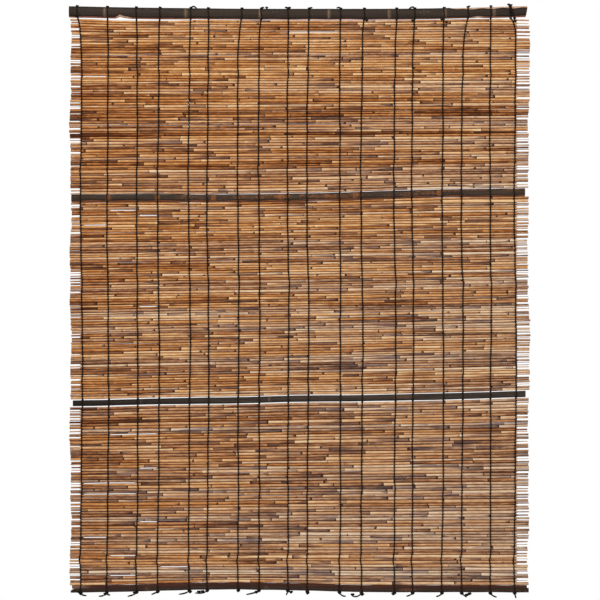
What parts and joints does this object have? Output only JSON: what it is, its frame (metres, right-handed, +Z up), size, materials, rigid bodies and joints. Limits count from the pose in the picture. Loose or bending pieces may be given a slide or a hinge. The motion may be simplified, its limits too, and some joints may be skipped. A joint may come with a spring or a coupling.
{
  "type": "reed roll up blind",
  "caption": "Reed screen of thin stems tied side by side with twined cords, stiffened by split bamboo battens. It hangs from its top batten and rolls up from the bottom.",
  "frame": {"origin": "middle of the top batten, level with the middle of the reeds' thickness", "axes": "+Z up, the blind hangs down along -Z; the front faces -Y; +X to the viewer's right along the reeds"},
  "size_m": [0.8799, 0.0099, 1.1187],
  "materials": {
    "reed": "dry reed stems, tan to grey-brown",
    "cord": "twined black-green cord",
    "top_bamboo": "weathered dark grey-brown bamboo",
    "second_bamboo": "weathered brown bamboo with orange patches",
    "third_bamboo": "weathered grey-black bamboo",
    "bottom_bamboo": "weathered dark brown bamboo",
    "edge_bamboo": "reddish brown bamboo"
  },
  "bodies": {
    "top": {"top_batten": "top_bamboo", "top_batten_cords": "cord"},
    "strip_01": {"reeds_01": "reed", "cords_01": "cord"},
    "strip_02": {"reeds_02": "reed", "cords_02": "cord"},
    "strip_03": {"reeds_03": "reed", "cords_03": "cord"},
    "strip_04": {"reeds_04": "reed", "cords_04": "cord"},
    "strip_05": {"reeds_05": "reed", "cords_05": "cord"},
    "strip_06": {"reeds_06": "reed", "cords_06": "cord", "second_batten": "second_bamboo", "second_batten_cords": "cord"},
    "strip_07": {"reeds_07": "reed", "cords_07": "cord"},
    "strip_08": {"reeds_08": "reed", "cords_08": "cord"},
    "strip_09": {"reeds_09": "reed", "cords_09": "cord"},
    "strip_10": {"reeds_10": "reed", "cords_10": "cord"},
    "strip_11": {"reeds_11": "reed", "cords_11": "cord"},
    "strip_12": {"reeds_12": "reed", "cords_12": "cord"},
    "strip_13": {"reeds_13": "reed", "cords_13": "cord", "third_batten": "third_bamboo", "third_batten_cords": "cord"},
    "strip_14": {"reeds_14": "reed", "cords_14": "cord"},
    "strip_15": {"reeds_15": "reed", "cords_15": "cord"},
    "strip_16": {"reeds_16": "reed", "cords_16": "cord"},
    "strip_17": {"reeds_17": "reed", "cords_17": "cord"},
    "strip_18": {"reeds_18": "reed", "cords_18": "cord"},
    "strip_19": {"reeds_19": "reed", "cords_19": "cord"},
    "strip_20": {"reeds_20": "reed", "cords_20": "cord", "edge_lath": "edge_bamboo", "bottom_batten": "bottom_bamboo", "bottom_batten_cords": "cord"}
  },
  "joints": [
    {"name": "roll_up", "type": "hinge", "parent": "top", "child": "strip_01", "pos_m": [0, 0, -0.01075], "axis": [1, 0, 0], "range_deg": [0, 50]},
    {"name": "turn_02", "type": "hinge", "parent": "strip_01", "child": "strip_02", "pos_m": [0, 0, -0.07977], "axis": [1, 0, 0.0023], "range_deg": [0, 37.62]},
    {"name": "turn_03", "type": "hinge", "parent": "strip_02", "child": "strip_03", "pos_m": [0, 0, -0.14879], "axis": [1, 0, 0.0046], "range_deg": [0, 37.36]},
    {"name": "turn_04", "type": "hinge", "parent": "strip_03", "child": "strip_04", "pos_m": [0, 0, -0.21288], "axis": [1, 0, 0.0067], "range_deg": [0, 37.03]},
    {"name": "turn_05", "type": "hinge", "parent": "strip_04", "child": "strip_05", "pos_m": [0, 0, -0.27697], "axis": [1, 0, 0.0089], "range_deg": [0, 38.24]},
    {"name": "turn_06", "type": "hinge", "parent": "strip_05", "child": "strip_06", "pos_m": [0, 0, -0.34106], "axis": [0.9999, 0, 0.011], "range_deg": [0, 42.36]},
    {"name": "turn_07", "type": "hinge", "parent": "strip_06", "child": "strip_07", "pos_m": [0, 0, -0.41372], "axis": [0.9999, 0, 0.0125], "range_deg": [0, 41.54]},
    {"name": "turn_08", "type": "hinge", "parent": "strip_07", "child": "strip_08", "pos_m": [0, 0, -0.46988], "axis": [0.9999, 0, 0.014], "range_deg": [0, 35.65]},
    {"name": "turn_09", "type": "hinge", "parent": "strip_08", "child": "strip_09", "pos_m": [0, 0, -0.52136], "axis": [0.9999, 0, 0.0154], "range_deg": [0, 35.22]},
    {"name": "turn_10", "type": "hinge", "parent": "strip_09", "child": "strip_10", "pos_m": [0, 0, -0.57284], "axis": [0.9999, 0, 0.0168], "range_deg": [0, 36.53]},
    {"name": "turn_11", "type": "hinge", "parent": "strip_10", "child": "strip_11", "pos_m": [0, 0, -0.62432], "axis": [0.9998, 0, 0.0182], "range_deg": [0, 37.99]},
    {"name": "turn_12", "type": "hinge", "parent": "strip_11", "child": "strip_12", "pos_m": [0, 0, -0.6758], "axis": [0.9998, 0, 0.0196], "range_deg": [0, 39.64]},
    {"name": "turn_13", "type": "hinge", "parent": "strip_12", "child": "strip_13", "pos_m": [0, 0, -0.72728], "axis": [0.9998, 0, 0.021], "range_deg": [0, 44.73]},
    {"name": "turn_14", "type": "hinge", "parent": "strip_13", "child": "strip_14", "pos_m": [0, 0, -0.78628], "axis": [0.9998, 0, 0.0183], "range_deg": [0, 44.16]},
    {"name": "turn_15", "type": "hinge", "parent": "strip_14", "child": "strip_15", "pos_m": [0, 0, -0.83028], "axis": [0.9999, 0, 0.0157], "range_deg": [0, 39.26]},
    {"name": "turn_16", "type": "hinge", "parent": "strip_15", "child": "strip_16", "pos_m": [0, 0, -0.87428], "axis": [0.9999, 0, 0.013], "range_deg": [0, 41.43]},
    {"name": "turn_17", "type": "hinge", "parent": "strip_16", "child": "strip_17", "pos_m": [0, 0, -0.91828], "axis": [0.9999, 0, 0.0103], "range_deg": [0, 44]},
    {"name": "turn_18", "type": "hinge", "parent": "strip_17", "child": "strip_18", "pos_m": [0, 0, -0.96228], "axis": [1, 0, 0.0077], "range_deg": [0, 47.13]},
    {"name": "turn_19", "type": "hinge", "parent": "strip_18", "child": "strip_19", "pos_m": [0, 0, -1.00628], "axis": [1, 0, 0.005], "range_deg": [0, 51.03]},
    {"name": "turn_20", "type": "hinge", "parent": "strip_19", "child": "strip_20", "pos_m": [0, 0, -1.05028], "axis": [1, 0, 0.0023], "range_deg": [0, 62.7]}
  ],
  "couplings": [
    {"joint": "turn_02", "follows": "roll_up", "ratio": 0.7524},
    {"joint": "turn_03", "follows": "roll_up", "ratio": 0.7472},
    {"joint": "turn_04", "follows": "roll_up", "ratio": 0.7406},
    {"joint": "turn_05", "follows": "roll_up", "ratio": 0.7648},
    {"joint": "turn_06", "follows": "roll_up", "ratio": 0.8472},
    {"joint": "turn_07", "follows": "roll_up", "ratio": 0.8308},
    {"joint": "turn_08", "follows": "roll_up", "ratio": 0.713},
    {"joint": "turn_09", "follows": "roll_up", "ratio": 0.7044},
    {"joint": "turn_10", "follows": "roll_up", "ratio": 0.7306},
    {"joint": "turn_11", "follows": "roll_up", "ratio": 0.7598},
    {"joint": "turn_12", "follows": "roll_up", "ratio": 0.7928},
    {"joint": "turn_13", "follows": "roll_up", "ratio": 0.8946},
    {"joint": "turn_14", "follows": "roll_up", "ratio": 0.8832},
    {"joint": "turn_15", "follows": "roll_up", "ratio": 0.7852},
    {"joint": "turn_16", "follows": "roll_up", "ratio": 0.8286},
    {"joint": "turn_17", "follows": "roll_up", "ratio": 0.88},
    {"joint": "turn_18", "follows": "roll_up", "ratio": 0.9426},
    {"joint": "turn_19", "follows": "roll_up", "ratio": 1.0206},
    {"joint": "turn_20", "follows": "roll_up", "ratio": 1.254}
  ]
}
